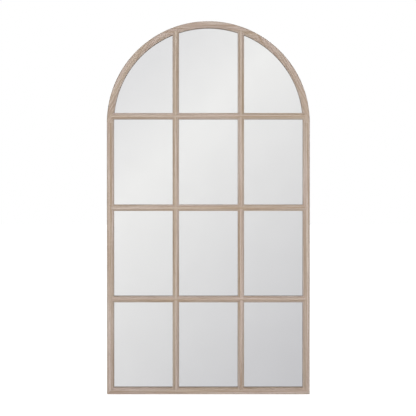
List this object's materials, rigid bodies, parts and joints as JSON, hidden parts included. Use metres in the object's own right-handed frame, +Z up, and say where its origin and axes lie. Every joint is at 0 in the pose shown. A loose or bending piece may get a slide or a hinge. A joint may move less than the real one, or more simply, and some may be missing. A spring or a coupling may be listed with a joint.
{
  "type": "arched window mirror",
  "caption": "Wall mirror framed like an arched window: pale washed-wood frame with a half-round head and a grid of bevelled glazing bars over one arched sheet, hung by swinging D-rings.",
  "frame": {"origin": "middle of the underside of the bottom rail, halfway through the depth of the wooden frame", "axes": "+X to the right seen from the front, +Y towards the wall (the glass faces -Y), +Z up"},
  "size_m": [0.61, 0.03, 1.122],
  "materials": {
    "washed_wood": "thin greyish whitewash over straight-grained wood, matt",
    "mirror": "silvered float glass, 4 mm, plain edge",
    "hardboard": "brown pressed hardboard, smooth face out",
    "beech": "plain fluted beech",
    "blued_steel": "dark spring steel",
    "bright_steel": "bright rolled strip",
    "zinc_plate": "bright zinc plating",
    "rubber": "soft black rubber, matt"
  },
  "bodies": {
    "mirror": {"left_stile": "washed_wood", "right_stile": "washed_wood", "bottom_rail": "washed_wood", "arch_left_segment": "washed_wood", "arch_crown_segment": "washed_wood", "arch_right_segment": "washed_wood", "muntin_vertical_left": "washed_wood", "muntin_vertical_right": "washed_wood", "muntin_horizontal_top": "washed_wood", "muntin_horizontal_middle": "washed_wood", "muntin_horizontal_bottom": "washed_wood", "mirror_glass": "mirror", "backboard": "hardboard", "arch_dowels": "beech", "corner_v_nails": "blued_steel", "tenon_pins": "blued_steel", "framers_points": "bright_steel", "hanger_strap_left": "zinc_plate", "hanger_strap_right": "zinc_plate", "hanger_screws": "zinc_plate", "wall_bumpers": "rubber"},
    "ring_left": {"d_ring_left": "zinc_plate"},
    "ring_right": {"d_ring_right": "zinc_plate"}
  },
  "joints": [
    {"name": "d_ring_left_swing", "type": "hinge", "parent": "mirror", "child": "ring_left", "pos_m": [-0.29775, 0.0148, 0.752], "axis": [1, 0, 0], "range_deg": [0, 180]},
    {"name": "d_ring_right_swing", "type": "hinge", "parent": "mirror", "child": "ring_right", "pos_m": [0.29775, 0.0148, 0.752], "axis": [1, 0, 0], "range_deg": [0, 180]}
  ]
}
